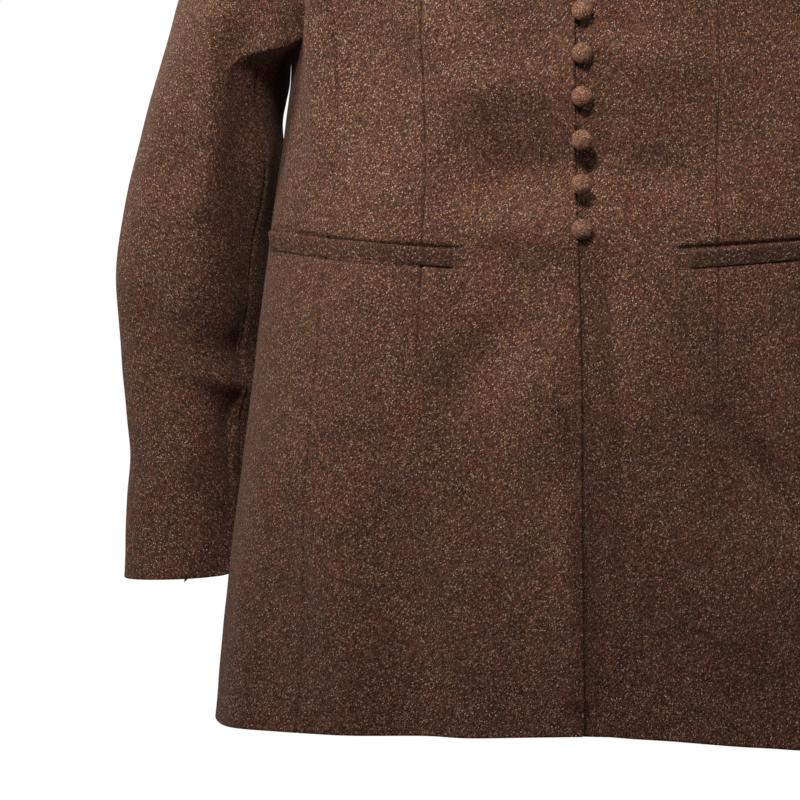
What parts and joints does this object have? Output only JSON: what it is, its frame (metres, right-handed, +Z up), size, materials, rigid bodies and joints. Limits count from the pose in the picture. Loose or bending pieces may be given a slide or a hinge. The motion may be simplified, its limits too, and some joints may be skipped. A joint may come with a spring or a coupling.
{
  "type": "collarless jacket",
  "caption": "Hip-length collarless tweed jacket in its worn, hollow form, with a round neck, front darts, welt pockets, two-piece sleeves and ball buttons closed by small cloth loops",
  "frame": {"origin": "in the middle of the neck opening, 30 mm below the neck points of the shoulders, where the wearer's neck and shoulders hold the jacket", "axes": "+Z up the wearer's body, -Y to the front of the jacket, -X to the wearer's right, which laps over the left"},
  "size_m": [0.5194, 0.2525, 0.7682],
  "materials": {
    "front_tweed": "matte speckled woollen tweed",
    "side_tweed": "matte speckled woollen tweed",
    "back_tweed": "matte speckled woollen tweed",
    "sleeve_tweed": "matte speckled woollen tweed",
    "welt_tweed": "matte speckled woollen tweed",
    "button_cover": "the same tweed stretched over a ball",
    "loop_rouleau": "the same tweed as a narrow rouleau"
  },
  "bodies": {
    "root": {"front_right": "front_tweed", "front_left": "front_tweed", "side_right": "side_tweed", "side_left": "side_tweed", "back_right": "back_tweed", "back_left": "back_tweed", "sleeve_top_right": "sleeve_tweed", "sleeve_top_left": "sleeve_tweed", "sleeve_under_right": "sleeve_tweed", "sleeve_under_left": "sleeve_tweed", "welt_right": "welt_tweed", "welt_left": "welt_tweed", "button_01": "button_cover", "button_02": "button_cover", "button_03": "button_cover", "button_04": "button_cover", "button_05": "button_cover", "button_06": "button_cover", "button_07": "button_cover", "button_08": "button_cover", "button_09": "button_cover", "button_10": "button_cover", "button_11": "button_cover", "button_12": "button_cover", "button_13": "button_cover", "button_14": "button_cover", "button_15": "button_cover", "button_16": "button_cover", "button_17": "button_cover", "loop_01": "loop_rouleau", "loop_02": "loop_rouleau", "loop_03": "loop_rouleau", "loop_04": "loop_rouleau", "loop_05": "loop_rouleau", "loop_06": "loop_rouleau", "loop_07": "loop_rouleau", "loop_08": "loop_rouleau", "loop_09": "loop_rouleau", "loop_10": "loop_rouleau", "loop_11": "loop_rouleau", "loop_12": "loop_rouleau", "loop_13": "loop_rouleau", "loop_14": "loop_rouleau", "loop_15": "loop_rouleau", "loop_16": "loop_rouleau", "loop_17": "loop_rouleau"}
  },
  "joints": []
}
